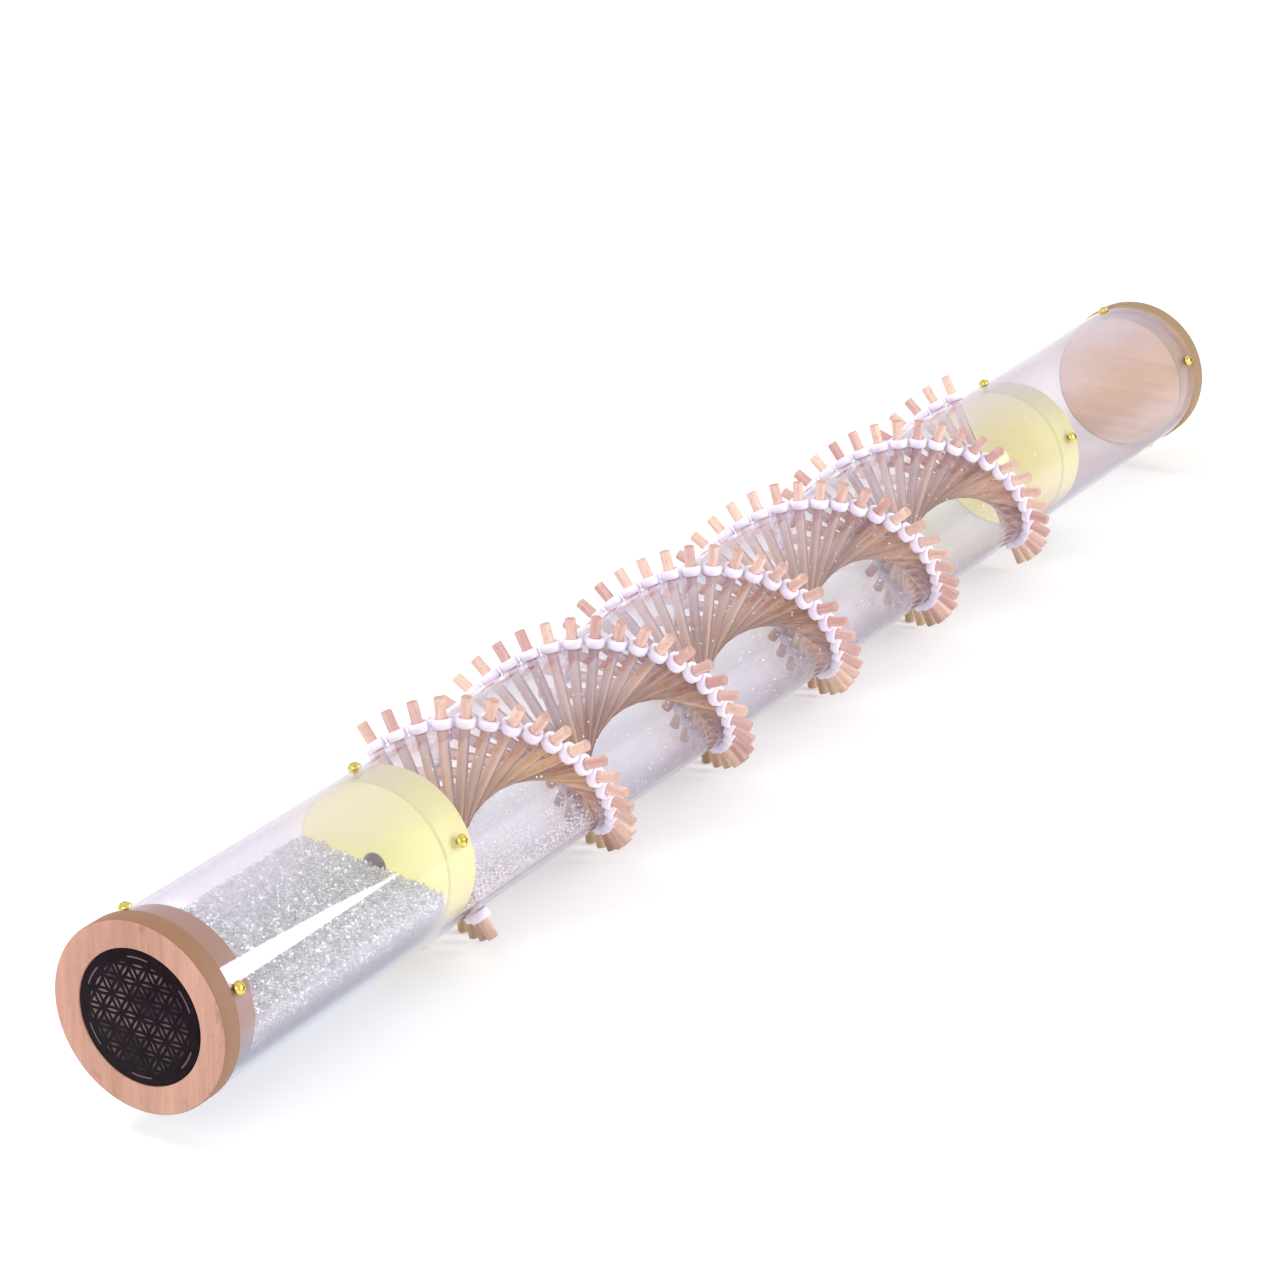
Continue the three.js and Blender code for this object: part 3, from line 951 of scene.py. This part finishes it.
# %% [markdown]
# ## The heap's skin
# Only the outermost grains of the heap are seen: those against the clear wall and those on top. They stand in rows
# along the tube, each shifted by half a step as packed balls are, with some chance added. The top is higher on the far
# side, where the last roll left it, and a few more grains lie loose on it. The grains against the wall make two pieces,
# because a mesh of over 200,000 triangles would be thinned in the export.

# %% The heap
BED_RADIUS = 37.3 * MM
BED_FRONT, BED_REAR = -PLUG_END + 0.5 * MM, -BAFFLE_OUTER - 0.5 * MM
SLOPE = math.tan(math.radians(8))
CLEAR_OF_WALL = 0.8 * MM     # room that the top's grains leave for those against the wall
LOOSE_SHARE = 0.25           # of the top's grains, how many carry another one


def bed_top(y):
    """Height of the heap above the tube's axis."""
    return 1 * MM + SLOPE * y


chance = np.random.default_rng(5)
spacing = 2.0 * GRAIN * 0.94
wall_step, top_step = spacing * 0.87, spacing * 0.95
wall_radius = BED_RADIUS - GRAIN
half_row = int(wall_radius / top_step)
wall, top = [], []
for row in range(int((BED_REAR - BED_FRONT - 2 * GRAIN) / spacing) + 1):
    x = BED_FRONT + GRAIN + row * spacing
    for step in range(int(2 * math.pi * wall_radius / wall_step)):
        angle = (step + 0.5 * (row % 2) + chance.uniform(-0.35, 0.35)) * wall_step / wall_radius
        y, z = wall_radius * math.sin(angle), wall_radius * math.cos(angle)
        if z < bed_top(y):
            wall.append((x + chance.uniform(-0.5, 0.5) * MM, y, z))
    for step in range(-half_row, half_row + 1):
        y = (step + 0.5 * (row % 2)) * top_step
        z = bed_top(y) + chance.uniform(-0.9, 0.5) * MM
        if math.hypot(y, z) < wall_radius - CLEAR_OF_WALL:
            top.append((x + chance.uniform(-0.3, 0.3) * MM, y, z))
            if chance.random() < LOOSE_SHARE:
                top.append((x + 0.5 * spacing, y + 0.4 * spacing, z + 0.7 * MM))
middle = (BED_FRONT + BED_REAR) / 2
heap_skin = [
    scatter("bead_heap_wall_front", [place for place in wall if place[0] < middle], 1, paler=0.3),
    scatter("bead_heap_wall_rear", [place for place in wall if place[0] >= middle], 4, paler=0.3),
    scatter("bead_heap_top", [place for place in top if math.hypot(*place[1:]) < wall_radius], 2)]
for piece in heap_skin:
    finish_piece(piece, heap_glass, body="beads")
print("grains on the heap:", len(wall), "on the wall,", len(top), "on top")

# %% [markdown]
# ## The heap's core
# Small gaps stay between the grains, and without anything behind them the heap would look hollow. A plain core of the
# same glass fills it: a cylinder a little thinner than the bore, cut off by a bisect just below the heap's top. The
# core is the piece that stands for the CAD filling.

# %% The core of the heap
core = add_disc("bead_heap_core", BED_RADIUS - 1.6 * GRAIN, BED_FRONT, BED_REAR, 64)
bpy.ops.object.mode_set(mode="EDIT")
bpy.ops.mesh.select_all(action="SELECT")
bpy.ops.mesh.bisect(plane_co=(0, 0, bed_top(0) - 0.5 * MM), plane_no=(0, -SLOPE, 1), clear_outer=True, use_fill=True)
bpy.ops.object.mode_set(mode="OBJECT")
round_edges(core, 0.8 * MM, 2, sharper_than=40)
settle(core)
give_tone(core.data, [0.4] * len(core.data.vertices))
finish_piece(core, heap_glass, body="beads", stands_for=["bead_filling"])
print("core faces:", len(core.data.polygons))

# %% [markdown]
# ## Stray grains
# The finest grains have already run through the front baffle. Rubbing charges them, so they cling to the wall
# of the first bay, thickest along the bottom, and a few all along the tube. They ride on the stick, because
# they stay where they cling. Places that a dowel takes are left free.

# %% Stray grains
BOTTOM = 180                 # degrees about the tube, from +Z
FIRST_BAY_COUNT, ALL_COUNT = 3500, 4200
dowel_angles, dowel_places = np.array([dowel_place(n) for n in range(DOWEL_COUNT)]).T
chance = np.random.default_rng(9)
strays = []


def add_stray(x, angle):
    beside = (angle - dowel_angles + 90) % 180 - 90
    distance = np.hypot(x - dowel_places, np.radians(beside) * wall_radius)
    if distance.min() > DOWEL_RADIUS + GRAIN:
        strays.append(tuple(around(angle, x, BED_RADIUS - 0.4 * GRAIN).translation))


while len(strays) < FIRST_BAY_COUNT:
    x, angle = -290 * MM + abs(chance.normal(0, 70)) * MM, chance.normal(BOTTOM, 34)
    if abs(angle - BOTTOM) < 80 and x < -120 * MM:
        add_stray(x, angle)
while len(strays) < ALL_COUNT:
    add_stray(chance.uniform(-285, 285) * MM, chance.uniform(0, 360))
finish_piece(scatter("stray_grains", strays, 3, scale=0.7, paler=0.7), clinging_glass)
print("stray grains:", len(strays))

# %% [markdown]
# ## The floor
# The stick lies on its dowel tips on white paper. Its emission keeps the paper white far away, where the lamps
# are weak, and is lower near the stick, so that the soft shadow stays. The floor is a part of the stage, not of the
# stick.

# %% Floor
deselect()
bpy.ops.mesh.primitive_plane_add(size=12, location=(0, 0, cad_box[0][2]))
floor = name_piece("floor")
ground = Finish("white_floor", Roughness=0.9, Emission_Strength=0.32)
distance = ground.node("ShaderNodeVectorMath", {"operation": "LENGTH"}, {0: ground.place()}, output="Value")
paper = ground.ramp(ground.even_noise(8), (0.3, (0.88, 0.88, 0.88)), (0.7, (0.92, 0.92, 0.92)))
floor.data.materials.append(ground.set(
    Base_Color=paper, Emission_Color=ground.blend(distance.step(0.7, 2.2), (0.64, 0.64, 0.64), (1, 1, 1))))
print("floor at", cad_box[0][2])

# %% [markdown]
# ## Lamps
# A broad lamp from above and behind gives the soft shadow, and a weaker one fills the front cap. A panel on the
# right is there to be mirrored: it draws the long bright strip on the tube's front chamber. The key lamp would
# draw such a strip too, where none is wanted, so mirrors don't see it.

# %% Lamps
def look_at(spot, target):
    return (Vector(target) - Vector(spot)).to_track_quat("-Z", "Y").to_matrix().to_4x4()


def lamp(name, spot, target, size, power, mirrored=True):
    deselect()
    bpy.ops.object.light_add(type="AREA")
    light = bpy.context.object
    light.name = name
    light.matrix_world = Matrix.Translation(spot) @ look_at(spot, target)
    light.data.shape = "RECTANGLE"
    light.data.size, light.data.size_y = size
    light.data.energy = power
    light.visible_camera = False
    light.visible_glossy = mirrored


lamp("key_lamp", (-0.9, 1.3, 2.3), (0, 0, 0), (1.0, 0.8), 37, mirrored=False)
lamp("front_fill", (-2.4, -0.2, 1.1), (0, 0, 0), (1.6, 1.2), 14)
lamp("strip_panel", (0.467, -1.227, 0.592), (-0.329, -0.621, 0.592), (0.77, 0.7), 13.5)

# %% [markdown]
# ## The backdrop
# The world is pure white to the camera, to mirrors and to clear things, and lights the stick a little less than that.
# So the background is white, and the light on the object stays plain.

# %% World
AMBIENT = 0.7
world = bpy.data.worlds.new("studio")
scene.world = world
world.use_nodes = True
sky = Net(world.node_tree)
seen, mirrored, through = (sky.node("ShaderNodeLightPath", output=ray)
                           for ray in ("Is Camera Ray", "Is Glossy Ray", "Is Transmission Ray"))
background = world.node_tree.nodes["Background"]
sky.put(background.inputs["Color"], (1, 1, 1))
sky.put(background.inputs["Strength"], AMBIENT + (1 - AMBIENT) * seen.most(mirrored).most(through))
scene.view_settings.view_transform = "Standard"
print("world lights at", AMBIENT)
